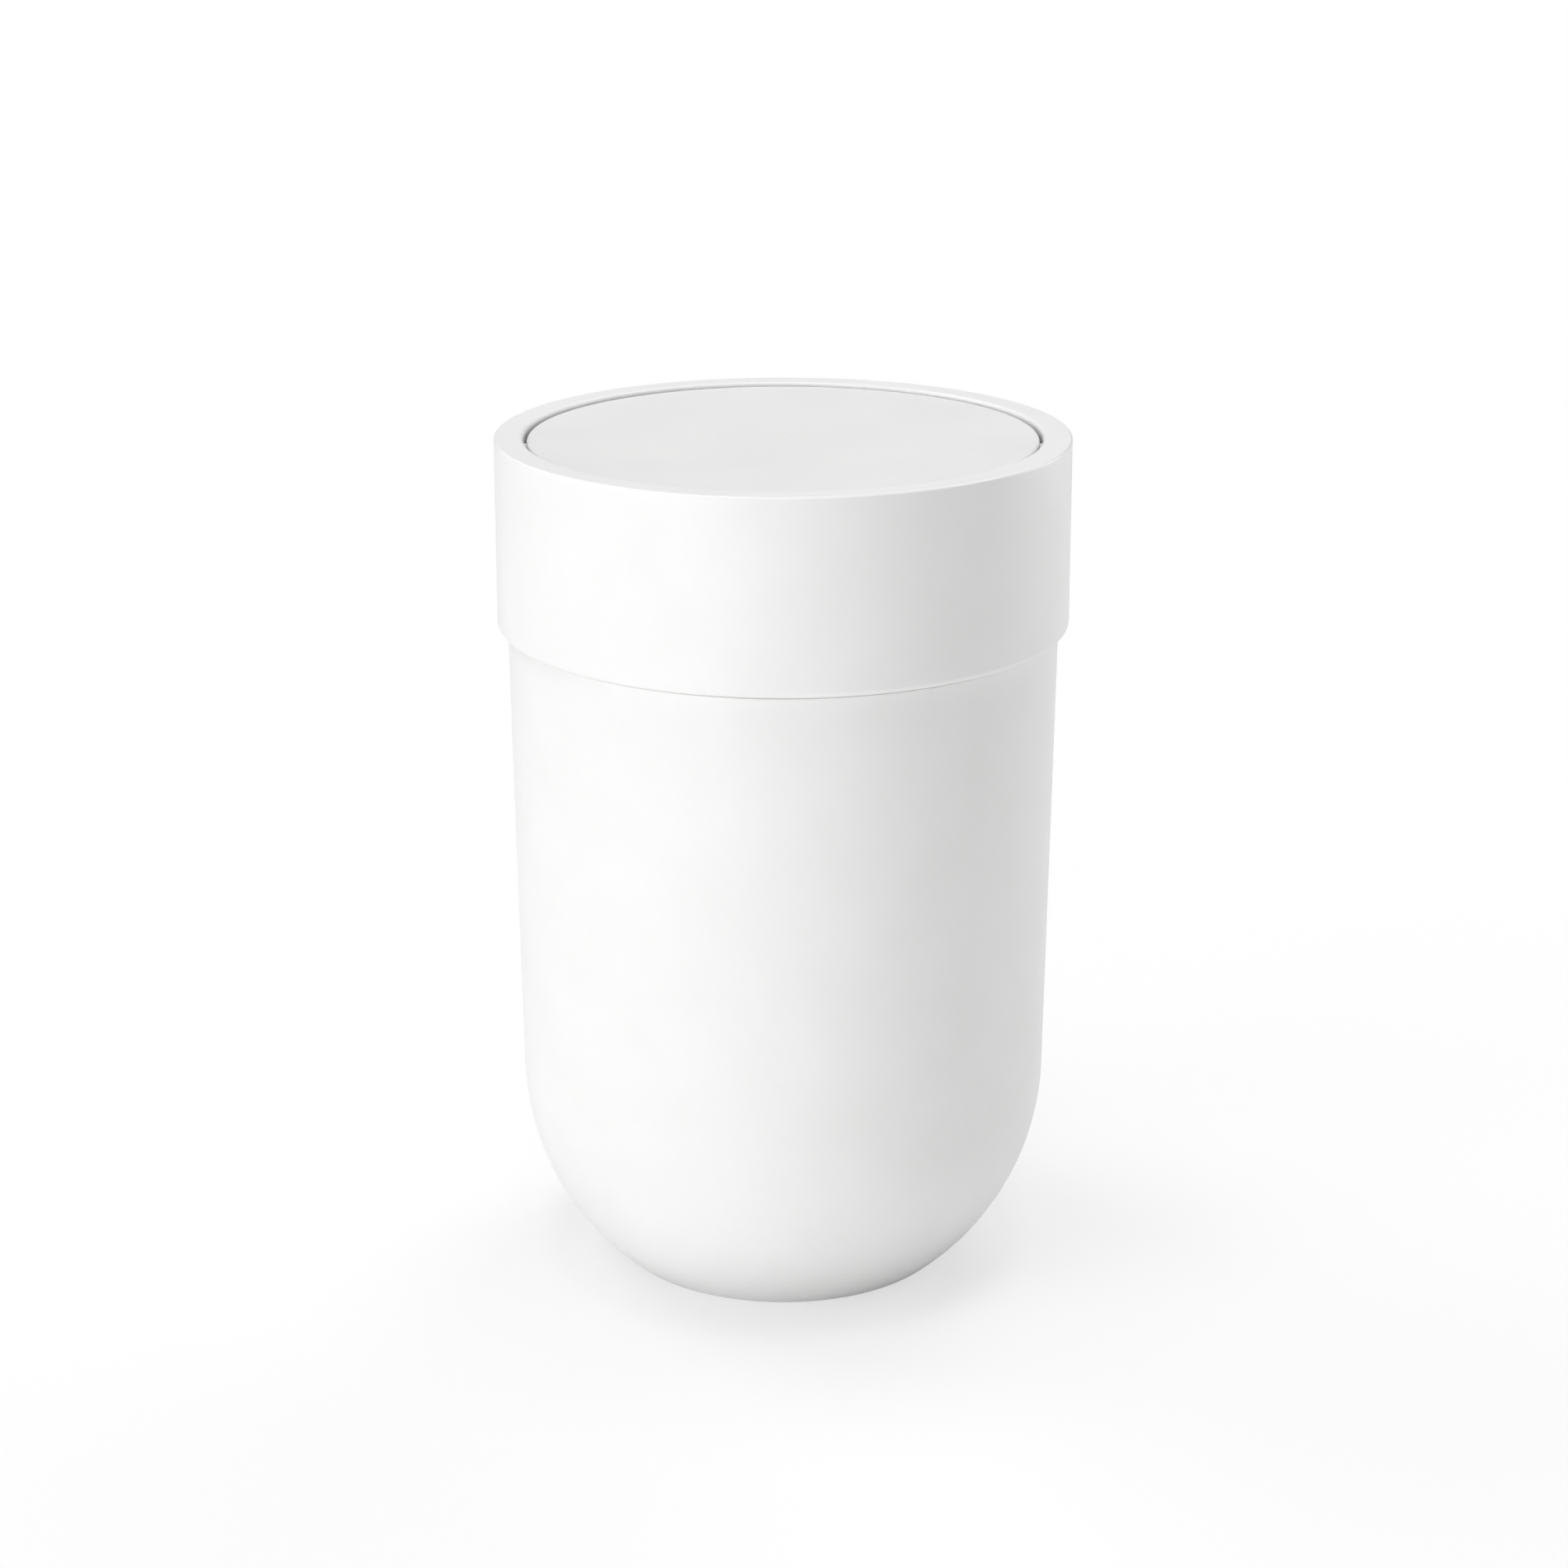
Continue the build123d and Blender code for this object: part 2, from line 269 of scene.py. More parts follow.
def blended(tree, share, first, second):
    # A colour that is `first` where share is 0 and `second` where it is 1.
    made = tree.nodes.new("ShaderNodeMix")
    made.data_type = "RGBA"
    for place, value in ((0, share), (6, first), (7, second)):
        if isinstance(value, tuple):
            made.inputs[place].default_value = value
        else:
            tree.links.new(value, made.inputs[place])
    return made.outputs[2]


def newGroup(name, inputs, outputs):
    # An empty node group whose inputs are a vector and named numbers.
    tree = bpy.data.node_groups.new(name, "ShaderNodeTree")
    tree.interface.new_socket("Vector", in_out="INPUT", socket_type="NodeSocketVector")
    for label, value in inputs.items():
        tree.interface.new_socket(label, in_out="INPUT", socket_type="NodeSocketFloat").default_value = value
    for label in outputs:
        tree.interface.new_socket(label, in_out="OUTPUT", socket_type="NodeSocketFloat")
    source, result = tree.nodes.new("NodeGroupInput"), tree.nodes.new("NodeGroupOutput")
    return tree, source.outputs, result.inputs


def mouldedGrainGroup():
    # The etched grain of a mould: pits of one size, finer ones between them, and the slow
    # flow marks of the wall. Height = pits + fine pits / 2 + flow * Flow Share.
    tree, source, result = newGroup(
        "mouldedGrain", {"Grain Size": 0.4 * mm, "Flow Size": 30 * mm, "Flow Share": 1.0},
        ["Height", "Mottle"])
    finer, mottleSize = 2.2, 24 * mm
    where = source["Vector"]

    def atSize(divided, kind, **inputs):
        texture = added(tree, kind, **inputs)
        tree.links.new(where, texture.inputs["Vector"])
        tree.links.new(maths(tree, "DIVIDE", divided, source["Grain Size"]), texture.inputs["Scale"])
        return texture.outputs["Distance" if "Voronoi" in kind else "Fac"]

    pits = atSize(1.0, "ShaderNodeTexVoronoi")
    fine = atSize(finer, "ShaderNodeTexNoise", Detail=2.0)
    flow = added(tree, "ShaderNodeTexNoise", Detail=1.5, Roughness=0.4)
    tree.links.new(where, flow.inputs["Vector"])
    tree.links.new(maths(tree, "DIVIDE", 1.0, source["Flow Size"]), flow.inputs["Scale"])
    grain = maths(tree, "ADD", pits, maths(tree, "MULTIPLY", fine, 0.5))
    swell = maths(tree, "MULTIPLY", flow.outputs["Fac"], source["Flow Share"])
    tree.links.new(maths(tree, "ADD", grain, swell), result["Height"])
    mottle = noise(tree, where, mottleSize, detail=4.0)
    tree.links.new(spread(tree, mottle, 0.3, 0.7, 0.0, 1.0), result["Mottle"])
    return tree


def edgeRingGroup():
    # A band on a circular edge about the bin's axis: (1 - distance / Band) squared, where
    # the distance is taken from (radius, height) to the edge's own radius and height.
    tree, source, result = newGroup(
        "edgeRing", {"Edge Radius": 90 * mm, "Edge Height": 0.27, "Band": 2 * mm}, ["Mask"])
    parts = tree.nodes.new("ShaderNodeSeparateXYZ")
    tree.links.new(source["Vector"], parts.inputs[0])
    x, y, z = parts.outputs

    def hypotenuse(one, other):
        return maths(tree, "SQRT", maths(
            tree, "ADD", maths(tree, "MULTIPLY", one, one), maths(tree, "MULTIPLY", other, other)))

    outBy = maths(tree, "SUBTRACT", hypotenuse(x, y), source["Edge Radius"])
    upBy = maths(tree, "SUBTRACT", z, source["Edge Height"])
    share = maths(tree, "DIVIDE", hypotenuse(outBy, upBy), source["Band"])
    near = maths(tree, "SUBTRACT", 1.0, share, clamp=True)
    tree.links.new(maths(tree, "MULTIPLY", near, near), result["Mask"])
    return tree


def handlingMarksGroup():
    # Hairline scratches that run two ways, only where a broad noise lets them through:
    # the stronger of the two sets of lines * patches * Amount.
    tree, source, result = newGroup("handlingMarks", {"Amount": 0.5}, ["Mask"])
    lines, patchSize = [], 22 * mm
    # a tilt in radians, and how many lines cross a metre along each axis
    for tilt, stretch in ((0.5, (1100.0, 70.0, 220.0)), (-0.8, (160.0, 1300.0, 80.0))):
        turn = added(tree, "ShaderNodeMapping", Rotation=(tilt, tilt / 2, tilt), Scale=stretch)
        tree.links.new(source["Vector"], turn.inputs["Vector"])
        lines.append(spread(tree, noise(tree, turn.outputs[0], 1.0, 2.0, 0.7), 0.66, 0.8, 0.0, 1.0))
    patches = spread(tree, noise(tree, source["Vector"], patchSize), 0.48, 0.66, 0.0, 1.0)
    marks = maths(tree, "MULTIPLY", maths(tree, "MAXIMUM", *lines), patches)
    tree.links.new(maths(tree, "MULTIPLY", marks, source["Amount"], clamp=True), result["Mask"])
    return tree


mouldedGrain, edgeRing, handlingMarks = mouldedGrainGroup(), edgeRingGroup(), handlingMarksGroup()
print("node groups made")


def placed(tree, group, vector, **inputs):
    # One of the groups above with its own values, read at a vector.
    made = tree.nodes.new("ShaderNodeGroup")
    made.node_tree = group
    tree.links.new(vector, made.inputs["Vector"])
    for name, value in inputs.items():
        made.inputs[name.replace("_", " ")].default_value = value
    return made.outputs


def newMaterial(name):
    # A material with its node tree, its shader, and the place in the piece's own metres.
    material = bpy.data.materials.new(name)
    material.use_nodes = True
    tree = material.node_tree
    where = tree.nodes.new("ShaderNodeTexCoord").outputs["Object"]
    return material, tree, tree.nodes["Principled BSDF"], where


def bumped(tree, shader, height, depth):
    # Tilts the shader's normal as a surface raised by height * depth would be.
    bump = added(tree, "ShaderNodeBump", Strength=1.0, Distance=depth)
    tree.links.new(height, bump.inputs["Height"])
    tree.links.new(bump.outputs[0], shader.inputs["Normal"])


whitePlastic = {
    "colour": (0.830, 0.830, 0.828, 1),
    "mottled": (0.812, 0.812, 0.808, 1),        # the darker side of a faint unevenness
    "dust": (0.62, 0.605, 0.58, 1),             # what gathers in the seam and at the foot
    "dustShare": 0.22,
    "roughness": 0.46,
    "roughnessSpread": 0.10,
    "ior": 1.49,
    "grainSize": 0.40 * mm,
    "grainDepth": 0.014 * mm,
    "flowSize": 26 * mm,
    "flowShare": 1.5,
    "wornBand": 1.8 * mm,
    "wornGloss": 0.14,                          # roughness taken off on a worn edge
    "scratchDullness": 0.15,                    # roughness added by a hairline
    "dustBand": 3.0 * mm,
}
# the flap is moulded from a very slightly greyer batch
flapWhite = dict(whitePlastic, colour=(0.798, 0.798, 0.796, 1), mottled=(0.781, 0.781, 0.777, 1))


def ringMask(tree, where, edges, band):
    # The strongest of the bands on a list of (radius, height) edges.
    masks = [placed(tree, edgeRing, where, Edge_Radius=radius, Edge_Height=height, Band=band)["Mask"]
             for radius, height in edges]
    strongest = masks[0]
    for mask in masks[1:]:
        strongest = maths(tree, "MAXIMUM", strongest, mask)
    return strongest


def plastic(name, wornEdges, dustyEdges, marks=0.5, look=whitePlastic):
    # Matt white moulding: worn edges are rubbed a little glossier, dusty ones are greyed
    # in patches, and hairlines are only seen in the gloss. Roughness = its low value +
    # mottle * spread + hairlines * dullness - worn * gloss.
    material, tree, shader, where = newMaterial(name)
    surface = placed(tree, mouldedGrain, where, Grain_Size=look["grainSize"],
                     Flow_Size=look["flowSize"], Flow_Share=look["flowShare"])
    scratched = placed(tree, handlingMarks, where, Amount=marks)["Mask"]
    worn = ringMask(tree, where, wornEdges, look["wornBand"])
    dusty = ringMask(tree, where, dustyEdges, look["dustBand"])
    dusty = maths(tree, "MULTIPLY", dusty, surface["Mottle"])
    colour = blended(tree, surface["Mottle"], look["colour"], look["mottled"])
    colour = blended(tree, maths(tree, "MULTIPLY", dusty, look["dustShare"]), colour, look["dust"])
    low = look["roughness"] - look["roughnessSpread"] / 2
    rough = spread(tree, surface["Mottle"], 0.0, 1.0, low, low + look["roughnessSpread"])
    rough = maths(tree, "ADD", rough, maths(tree, "MULTIPLY", scratched, look["scratchDullness"]))
    rough = maths(tree, "SUBTRACT", rough, maths(tree, "MULTIPLY", worn, look["wornGloss"]))
    tree.links.new(colour, shader.inputs["Base Color"])
    tree.links.new(rough, shader.inputs["Roughness"])
    shader.inputs["IOR"].default_value = look["ior"]
    bumped(tree, shader, surface["Height"], look["grainDepth"])
    return material


metals = {
    "pinSteel": {"colour": (0.60, 0.60, 0.61, 1), "dull": (0.44, 0.44, 0.45, 1), "roughness": 0.22,
                 "grainSize": 0.12 * mm, "stretch": (1.0, 0.08, 0.08)},   # ground round
    "weightZinc": {"colour": (0.52, 0.53, 0.54, 1), "dull": (0.36, 0.365, 0.37, 1), "roughness": 0.40,
                   "grainSize": 0.5 * mm, "stretch": (0.12, 1.0, 1.0)},    # drawn along its length
    "screwZinc": {"colour": (0.64, 0.65, 0.66, 1), "dull": (0.46, 0.47, 0.47, 1), "roughness": 0.28,
                  "grainSize": 0.2 * mm, "stretch": (1.0, 1.0, 1.0)},
}
metalWear = {
    "patchSize": 5 * mm,
    "patchRoughness": 0.16,                     # added where it is dull or scuffed
    "marks": 0.9,
    "flowSize": 6 * mm,
    "flowShare": 0.3,
    "grainDepth": 0.008 * mm,
}


def metal(name, wear=metalWear):
    # Steel whose fine lines are stretched along one way, with duller patches and scuffs:
    # the share of the dull colour is the stronger of a noise and the handling marks.
    look = metals[name]
    material, tree, shader, where = newMaterial(name)
    lines = added(tree, "ShaderNodeMapping", Scale=look["stretch"])
    tree.links.new(where, lines.inputs["Vector"])
    surface = placed(tree, mouldedGrain, lines.outputs[0], Grain_Size=look["grainSize"],
                     Flow_Size=wear["flowSize"], Flow_Share=wear["flowShare"])
    scratched = placed(tree, handlingMarks, where, Amount=wear["marks"])["Mask"]
    patches = spread(tree, noise(tree, where, wear["patchSize"], detail=4.0), 0.4, 0.7, 0.0, 1.0)
    patches = maths(tree, "MAXIMUM", patches, scratched)
    tree.links.new(blended(tree, patches, look["colour"], look["dull"]), shader.inputs["Base Color"])
    rough = spread(tree, patches, 0.0, 1.0, look["roughness"], look["roughness"] + wear["patchRoughness"])
    tree.links.new(rough, shader.inputs["Roughness"])
    shader.inputs["Metallic"].default_value = 1.0
    bumped(tree, shader, surface["Height"], wear["grainDepth"])
    return material


bushLook = {
    "colour": (0.66, 0.65, 0.60, 1),
    "deep": (0.60, 0.585, 0.53, 1),
    "roughness": 0.34,
    "roughnessSpread": 0.1,
    "ior": 1.48,
    "grainSize": 0.2 * mm,
    "flowSize": 4 * mm,
    "toolRings": 1200.0,          # scale of the rings left by the lathe
    "ringWander": 0.4,
    "depth": 0.006 * mm,
}


def acetal(look=bushLook):
    # Turned natural acetal: slightly waxy. Its bump is a wave of the distance from the swing
    # axis, for the tool's rings, plus the grain.
    material, tree, shader, where = newMaterial("bushAcetal")
    surface = placed(tree, mouldedGrain, where, Grain_Size=look["grainSize"],
                     Flow_Size=look["flowSize"], Flow_Share=1.0)
    colour = blended(tree, surface["Mottle"], look["colour"], look["deep"])
    tree.links.new(colour, shader.inputs["Base Color"])
    low = look["roughness"]
    rough = spread(tree, surface["Mottle"], 0.0, 1.0, low, low + look["roughnessSpread"])
    tree.links.new(rough, shader.inputs["Roughness"])
    shader.inputs["IOR"].default_value = look["ior"]
    centred = added(tree, "ShaderNodeMapping", Location=(0, 0, -swingHeight), Scale=(0, 1, 1))
    tree.links.new(where, centred.inputs["Vector"])
    rings = added(tree, "ShaderNodeTexWave", Scale=look["toolRings"], Distortion=look["ringWander"])
    rings.wave_type, rings.rings_direction = "RINGS", "SPHERICAL"
    tree.links.new(centred.outputs[0], rings.inputs["Vector"])
    bumped(tree, shader, maths(tree, "ADD", rings.outputs["Fac"], surface["Height"]), look["depth"])
    return material


canSizes = {
    "seamRadius": 89.0 * mm,      # outside, on the shoulder just under the collar
    "taper": 0.728,               # degrees that the wall leans outwards
    "bowlCentre": 66.8 * mm,      # height of the round bottom's centre
    "wall": 2.4 * mm,
    "floor": 2.6 * mm,
    "footWidth": 7.0 * mm,
    "footHeight": 1.5 * mm,
    "footFillet": 0.8 * mm,
    "footInnerFillet": 0.3 * mm,
    "floorFillet": 8.0 * mm,
    "neckStep": 0.7 * mm,
    "neckFillet": 0.15 * mm,
    "seamGap": 0.4 * mm,          # also the shoulder's fillet
    "rimFillet": 0.6 * mm,
    "gateRadius": 1.4 * mm,       # moulding gate under the floor
    "gateDepth": 0.3 * mm,
    "gateFillet": 0.1 * mm,
    "segments": 240,
}


def canOutline(size):
    # From the axis under the floor: foot ring, round bottom, wall, shoulder, neck, rim, and
    # back down the inside to the axis. A fillet of radius f between a bowl of radius R and a
    # floor at height h has its centre at height h + f and R - f from the bowl's centre.
    lean = math.radians(size["taper"])
    shoulder = seamHeight - size["seamGap"]

    def wallAt(height):
        return size["seamRadius"] + (height - shoulder) * math.tan(lean)

    bowl = wallAt(size["bowlCentre"]) * math.cos(lean)
    inner = bowl - size["wall"]
    baseRadius = math.sqrt(bowl ** 2 - size["bowlCentre"] ** 2)
    floorTop = size["footHeight"] + size["floor"]
    hub = (0, size["bowlCentre"])

    def filletOn(radius, fillet, height):
        drop = size["bowlCentre"] - height - fillet
        across = math.sqrt((radius - fillet) ** 2 - drop ** 2)
        return (across, height + fillet), -math.degrees(math.atan2(drop, across))

    foot, footAngle = filletOn(bowl, size["footFillet"], 0)
    bottom, bottomAngle = filletOn(inner, size["floorFillet"], floorTop)
    neckLow, neckTop = wallAt(shoulder) - size["neckStep"], wallAt(rimHeight) - size["neckStep"]
    rimInside = wallAt(rimHeight) - size["wall"] / math.cos(lean)
    gate, gateTop = size["gateRadius"], size["footHeight"] + size["gateDepth"]
    outline = rounded(np.vstack([
        [(0, gateTop, 0),
         (gate, gateTop, size["gateFillet"]),
         (gate, size["footHeight"], size["gateFillet"]),
         (baseRadius - size["footWidth"], size["footHeight"], size["footInnerFillet"]),
         (baseRadius - size["footWidth"], 0, size["footFillet"])],
        arc(foot, size["footFillet"], -90, footAngle, steps=6)[:-1],
        arc(hub, bowl, footAngle, -size["taper"], steps=44),
        [(wallAt(shoulder), shoulder, size["seamGap"]),
         (neckLow, shoulder, size["neckFillet"]),
         (neckTop, rimHeight, size["rimFillet"]),
         (rimInside, rimHeight, size["rimFillet"])],
        arc(hub, inner, -size["taper"], bottomAngle, steps=38)[:-1],
        arc(bottom, size["floorFillet"], bottomAngle, -90, steps=10),
        [(0, floorTop, 0)]]))
    return evenRuns(outline, longest=12 * mm)


def makeCan(size=canSizes):
    # The can's outline turned about its axis.
    canOutside = canOutline(size)
    baseRadius = canOutside[np.isclose(canOutside[:, 1], 0)][:, 0].max()
    can = solid("canShell", *turned(canOutside, size["segments"]))
    shoulder = (size["seamRadius"], seamHeight)
    rim = (size["seamRadius"] - size["wall"] / 2, rimHeight)
    finish = plastic("canPlastic", [rim, (baseRadius, 0)], [shoulder, (baseRadius, 0)])
    finished(can, finish, "can", "can_body")


collarSizes = {
    "lowerRadius": 92.3 * mm,
    "topRadius": 92.0 * mm,
    "skirt": 2.6 * mm,            # wall of the outer skirt
    "wall": 2.2 * mm,             # wall of the top face and of the throat
    "throatRadius": 82.8 * mm,
    "throatDepth": 28.0 * mm,
    "lowerFillet": 2.25 * mm,
    "topFillet": 0.9 * mm,
    "throatFillet": 1.3 * mm,
    "throatLowerFillet": 0.7 * mm,
    "insideFillet": 0.5 * mm,
    "seamInsideFillet": 0.12 * mm,
    "seatRibs": 12,
    "seatRibThickness": 1.6 * mm,
    "lugHead": 4.5 * mm,          # round head about the swing axis
    "lugPost": 12.0 * mm,         # below the swing axis
    "lugLength": 5.0 * mm,
    "lugFillet": 0.4 * mm,
    "bushSeat": 3.0 * mm,
    "segments": 240,
}
merge = 0.3 * mm                  # ribs and webs run this far into the walls they join


def lugSolid(size, side):
    # The lug's outside at an angle from straight up is its round head down to the swing
    # limit, then the flank that leaves the head on its tangent, head / cos(angle - limit),
    # as far as the flat end, post / -cos(angle). Its front edge is a quarter circle.
    head, post = size["lugHead"], size["lugPost"]
    flankLow = (head + post * math.cos(swingLimit)) / math.sin(swingLimit)
    corner = math.pi - math.atan2(flankLow, post)
    half = np.r_[np.linspace(0, swingLimit, 20), np.linspace(swingLimit, corner, 8)[1:],
                 np.linspace(corner, np.pi, 8)[1:]]
    angle = np.r_[half, 2 * np.pi - half[-2:0:-1]]
    fromUp = np.minimum(angle, 2 * np.pi - angle)
    flank = head / np.maximum(np.cos(np.maximum(fromUp, swingLimit) - swingLimit), 0.1)
    end = post / np.maximum(-np.cos(fromUp), 0.1)
    outside = np.where(fromUp <= swingLimit, head, np.minimum(flank, end))
    quarter = np.linspace(np.pi / 2, 0, 5)
    edge = size["lugFillet"]
    start = size["throatRadius"] - size["lugLength"]
    along = np.r_[start + edge * (1 - np.sin(quarter)), size["throatRadius"] + size["wall"] / 2]
    inset = np.r_[edge * (1 - np.cos(quarter)), 0]
    # each ring: (radius * cos, radius * sin) up and across, at its place along the axis
    radius = outside - inset[:, None]
    rings = np.stack([radius * np.cos(angle), radius * np.sin(angle), along[:, None] + 0 * angle], axis=-1)
    poles = np.array([[0, 0, along[0]], [0, 0, along[-1]]])
    count, last = len(angle), (len(along) - 1) * len(angle)
    column = np.arange(count)
    points = np.vstack([rings.reshape(-1, 3), poles])
    fans = [np.c_[np.full(count, len(points) - 2), (column + 1) % count, column],
            np.c_[np.full(count, len(points) - 1), last + column, last + (column + 1) % count]]
    return solid("lug", ontoSwingAxis(points, side), gridFaces(len(along), count, False, True), *fans)


def rod(radius, start, end, segments=48, about=(0, 0)):
    # A closed cylinder: a rectangle from the axis out to the radius, turned about its axis.
    return turned(np.array([[0, start], [radius, start], [radius, end], [0, end]]), segments, about=about)


def makeCollar(size=collarSizes):
    # A closed section turned about the axis: outer skirt, flat top and throat. Straight seat
    # ribs and the two lugs are added, and the bush seats are cut along the swing axis.
    throatOutside = size["throatRadius"] + size["wall"]
    underTop = topHeight - size["wall"]
    throatLow = topHeight - size["throatDepth"]
    inside = size["topRadius"] - size["skirt"]
    outline = rounded([
        (size["lowerRadius"], seamHeight, size["lowerFillet"]),
        (size["topRadius"], topHeight, size["topFillet"]),
        (size["throatRadius"], topHeight, size["throatFillet"]),
        (size["throatRadius"], throatLow, size["throatLowerFillet"]),
        (throatOutside, throatLow, size["throatLowerFillet"]),
        (throatOutside, underTop, size["insideFillet"]),
        (inside, underTop, size["insideFillet"]),
        (size["lowerRadius"] - size["skirt"], seamHeight, size["seamInsideFillet"])], steps=6, closed=True)
    outline = evenRuns(outline, longest=16 * mm, closed=True)
    collar = solid("collarShell", *turned(outline, size["segments"], closed=True))
    half = size["seatRibThickness"] / 2
    ribTurns = (np.arange(size["seatRibs"]) + 0.5) * 360 / size["seatRibs"]
    ribs = solid("seatRibs", *blocks(
        (throatOutside - merge, -half, rimHeight), (inside + merge, half, underTop + merge), ribTurns))
    joined(collar, [ribs] + [lugSolid(size, side) for side in (1, -1)], "UNION")
    seats = []
    lugFront = size["throatRadius"] - size["lugLength"]
    for side in (1, -1):
        points, *faces = rod(size["bushSeat"], lugFront - mm, throatOutside + mm)
        seats.append(solid("bushSeat", ontoSwingAxis(points, side), *faces))
    joined(collar, seats, "DIFFERENCE")
    finish = plastic(
        "collarPlastic",
        [(size["topRadius"], topHeight)],
        [(size["lowerRadius"] - size["skirt"] / 2, seamHeight), (size["throatRadius"], throatLow)])
    finished(collar, finish, "collar", "lid_frame")


flapSizes = {
    "radius": 81.6 * mm,
    "plate": 2.2 * mm,
    "edgeFillet": 0.9 * mm,
    "lowerFillet": 0.25 * mm,
    "skirtRadius": 80.8 * mm,
    "skirtWall": 1.8 * mm,
    "skirtDepth": 12.0 * mm,
    "skirtFillet": 0.4 * mm,
    "skirtOpening": 33.0 * mm,    # left out round the pivots
    "ribs": 12,
    "ribHeight": 3.0 * mm,
    "ribThickness": 1.4 * mm,
    "ribFillet": 0.2 * mm,
    "ringRadii": (14.0 * mm, 58.0 * mm),
    "gateRadius": 0.8 * mm,       # faint gate mark in the middle of the top
    "gateDepth": 0.15 * mm,
    "gateFillet": 0.1 * mm,
    "gateRim": 0.25 * mm,
    "pinRadius": 2.0 * mm,
    "bossRadius": 4.2 * mm,
    "bossFrom": 66.0 * mm,        # along the swing axis
    "bossTo": 76.7 * mm,
    "bossFillet": 0.25 * mm,
    "webWidth": 6.0 * mm,
    "gussetLength": 26.0 * mm,
    "postRadius": 4.3 * mm,
    "postFillet": 0.3 * mm,
    "postPlace": 45.0 * mm,
    "screwRadius": 1.5 * mm,
    "screwDepth": 10.0 * mm,
    "ejectorRadius": 2.5 * mm,    # shallow marks of the mould's ejector pins, underneath
    "ejectorDepth": 0.1 * mm,
    "ejectorPlace": 36.0 * mm,
    "segments": 240,
}


def makeFlap(size=flapSizes):
    # A turned plate with skirts, rings, straight ribs, bosses and posts added underneath,
    # then the holes and the shallow ejector marks cut.
    under = flapTop - size["plate"]
    thick = size["ribThickness"] / 2
    gate = size["gateRadius"]
    plate = rounded([
        (0, flapTop - size["gateDepth"], 0),
        (gate - size["gateFillet"], flapTop - size["gateDepth"], size["gateFillet"]),
        (gate, flapTop, size["gateRim"]),
        (size["radius"], flapTop, size["edgeFillet"]),
        (size["radius"], under, size["lowerFillet"]),
        (0, under, 0)], steps=10)
    flap = solid("flapShell", *turned(plate, size["segments"]))

    skirtInside, skirtLow = size["skirtRadius"] - size["skirtWall"], under - size["skirtDepth"]
    section = rounded([
        (size["skirtRadius"], skirtLow, size["skirtFillet"]), (size["skirtRadius"], under + merge, 0),
        (skirtInside, under + merge, 0), (skirtInside, skirtLow, size["skirtFillet"])], steps=4, closed=True)
    parts = [solid("skirt", *skirtArc(section, size["skirtOpening"], facing, steps=110))
             for facing in (1, -1)]

    ribLow, ribEdge = under - size["ribHeight"], size["ribFillet"]
    for radius in size["ringRadii"]:
        ring = rounded([
            (radius + thick, ribLow, ribEdge), (radius + thick, under + merge, 0),
            (radius - thick, under + merge, 0), (radius - thick, ribLow, ribEdge)], steps=3, closed=True)
        parts.append(solid("ring", *turned(ring, segments=144, closed=True)))
    ribTurns = (np.arange(size["ribs"]) + 0.5) * 360 / size["ribs"]
    parts.append(solid("ribs", *blocks(
        (size["ringRadii"][0], -thick, ribLow), (skirtInside + merge, thick, under + merge), ribTurns),
        softened=ribEdge))

    cutters = []
    middle = (size["bossFrom"] + size["bossTo"]) / 2
    for side in (1, -1):
        points, *faces = rod(size["bossRadius"], size["bossFrom"], size["bossTo"])
        parts.append(solid("boss", ontoSwingAxis(points, side), *faces, softened=size["bossFillet"]))
        ends = sorted((side * size["bossFrom"], side * size["bossTo"]))
        parts.append(solid("web", *blocks(
            (ends[0], -size["webWidth"] / 2, swingHeight),
            (ends[1], size["webWidth"] / 2, under + merge))))
        parts.append(solid("gusset", *blocks(
            (side * middle - thick, -size["gussetLength"] / 2, swingHeight),
            (side * middle + thick, size["gussetLength"] / 2, under + merge)), softened=ribEdge))
        about = (side * size["postPlace"], 0)
        post = rounded([(0, barTop, 0), (size["postRadius"], barTop, size["postFillet"]),
                        (size["postRadius"], under + merge, 0), (0, under + merge, 0)], steps=4)
        parts.append(solid("post", *turned(post, segments=64, about=about)))
        points, *faces = rod(size["pinRadius"], size["bossFrom"] - mm, size["bossTo"] + mm)
        cutters.append(solid("pinHole", ontoSwingAxis(points, side), *faces))
        hole = rod(size["screwRadius"], barTop - mm, barTop + size["screwDepth"], segments=40, about=about)
        cutters.append(solid("screwHole", *hole))
    for turn in np.arange(0, 2 * np.pi, np.pi / 3) + np.pi / 2:
        about = (size["ejectorPlace"] * math.cos(turn), size["ejectorPlace"] * math.sin(turn))
        mark = rod(size["ejectorRadius"], under - mm, under + size["ejectorDepth"], segments=40, about=about)
        cutters.append(solid("ejectorMark", *mark))
    joined(flap, parts, "UNION")
    joined(flap, cutters, "DIFFERENCE")
    finish = plastic("flapPlastic", [(size["radius"], flapTop)],
                     [(size["radius"], under), (size["skirtRadius"], skirtLow)],
                     marks=0.8, look=flapWhite)
    finished(flap, finish, "flap", "swing_flap")


makeCan()
makeCollar()
makeFlap()

for name, finish in {
    "pivot_bush": acetal(), "pivot_pin": metal("pinSteel"),
    "counterweight_bar": metal("weightZinc"), "counterweight_screws": metal("screwZinc"),
}.items():
    for node in nodes:
        if node.startswith(name):
            for slot in nodes[node].material_slots:
                slot.material = finish
print("metal and bushes finished")


